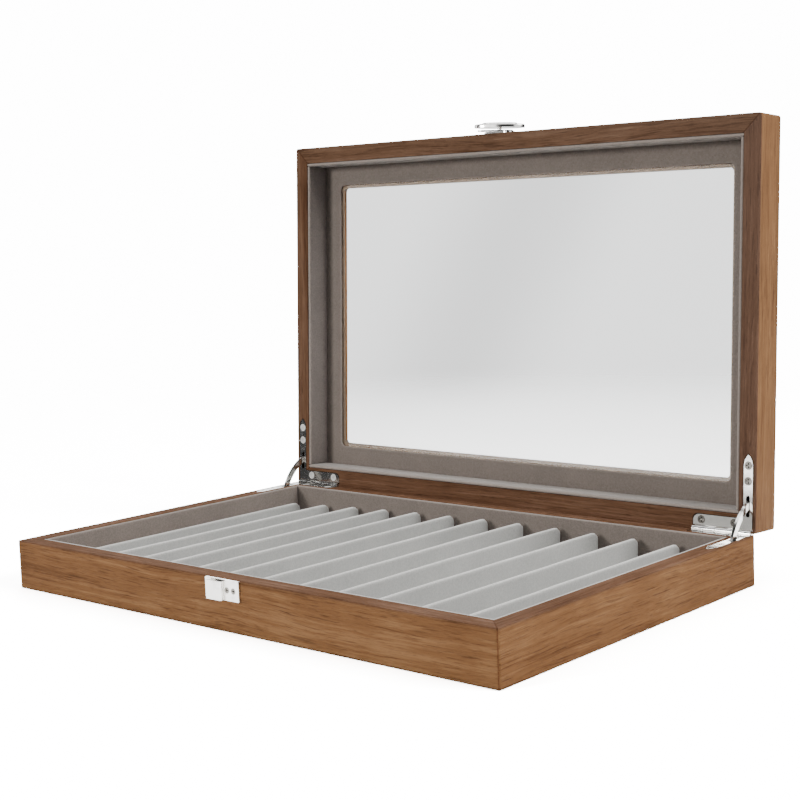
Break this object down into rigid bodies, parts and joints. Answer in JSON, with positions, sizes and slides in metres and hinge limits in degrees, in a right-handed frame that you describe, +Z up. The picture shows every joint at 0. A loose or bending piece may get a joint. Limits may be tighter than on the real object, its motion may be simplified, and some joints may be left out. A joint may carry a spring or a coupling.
{
  "type": "pen display case",
  "caption": "Flat walnut pen display case with a glazed hinged lid, velvet pen slots, stop hinges and a turn latch.",
  "frame": {"origin": "centre of the base's underside", "axes": "+X to the right of someone facing the front, +Y towards the hinged back, +Z up"},
  "size_m": [0.34, 0.2563, 0.2534],
  "materials": {
    "walnut": "satin lacquered walnut veneer",
    "bottom_board": "satin lacquered veneer",
    "taupe_lining": "flocked cloth over board",
    "grey_velvet": "short-pile velvet over card",
    "window_glass": "clear polished",
    "plated_metal": "bright nickel plate",
    "screw_metal": "bright nickel plate"
  },
  "bodies": {
    "base": {"base_front_wall": "walnut", "base_back_wall": "walnut", "base_left_wall": "walnut", "base_right_wall": "walnut", "base_bottom_panel": "bottom_board", "base_front_lining": "taupe_lining", "base_back_lining": "taupe_lining", "base_left_lining": "taupe_lining", "base_right_lining": "taupe_lining", "tray_floor": "grey_velvet", "tray_left_flap": "grey_velvet", "tray_right_flap": "grey_velvet", "tray_divider_1": "grey_velvet", "tray_divider_2": "grey_velvet", "tray_divider_3": "grey_velvet", "tray_divider_4": "grey_velvet", "tray_divider_5": "grey_velvet", "tray_divider_6": "grey_velvet", "tray_divider_7": "grey_velvet", "tray_divider_8": "grey_velvet", "tray_divider_9": "grey_velvet", "tray_divider_10": "grey_velvet", "tray_divider_11": "grey_velvet", "left_hinge_base_leaf": "plated_metal", "left_hinge_pin": "plated_metal", "left_hinge_base_screws": "screw_metal", "right_hinge_base_leaf": "plated_metal", "right_hinge_pin": "plated_metal", "right_hinge_base_screws": "screw_metal", "latch_keeper": "plated_metal", "latch_keeper_screws": "screw_metal"},
    "lid": {"lid_front_wall": "walnut", "lid_back_wall": "walnut", "lid_left_wall": "walnut", "lid_right_wall": "walnut", "lid_front_rail": "walnut", "lid_back_rail": "walnut", "lid_left_rail": "walnut", "lid_right_rail": "walnut", "lid_glass": "window_glass", "lid_panel_lining": "taupe_lining", "lid_front_lining": "taupe_lining", "lid_back_lining": "taupe_lining", "lid_left_lining": "taupe_lining", "lid_right_lining": "taupe_lining", "latch_rose": "plated_metal", "latch_rose_screws": "screw_metal", "left_hinge_lid_leaf": "plated_metal", "left_hinge_lid_screws": "screw_metal", "right_hinge_lid_leaf": "plated_metal", "right_hinge_lid_screws": "screw_metal"},
    "turn_latch": {"latch_post": "plated_metal", "latch_tongue": "plated_metal", "latch_knob": "plated_metal"},
    "left_stay": {"left_lid_stay": "plated_metal"},
    "right_stay": {"right_lid_stay": "plated_metal"}
  },
  "joints": [
    {"name": "lid_hinge", "type": "hinge", "parent": "base", "child": "lid", "pos_m": [0, 0.11, 0.0272], "axis": [1, 0, 0], "range_deg": [0, 93]},
    {"name": "latch_turn", "type": "hinge", "parent": "lid", "child": "turn_latch", "pos_m": [-0.005, 0.12721, 0.2466], "axis": [0, 0.0523, 0.9986], "range_deg": [-30, 60]},
    {"name": "left_stay_swing", "type": "hinge", "parent": "base", "child": "left_stay", "pos_m": [0, 0.11, 0.0272], "axis": [1, 0, 0], "range_deg": [0, 46.5]},
    {"name": "right_stay_swing", "type": "hinge", "parent": "base", "child": "right_stay", "pos_m": [0, 0.11, 0.0272], "axis": [1, 0, 0], "range_deg": [0, 46.5]}
  ],
  "couplings": [
    {"joint": "left_stay_swing", "follows": "lid_hinge", "ratio": 0.5},
    {"joint": "right_stay_swing", "follows": "lid_hinge", "ratio": 0.5}
  ]
}
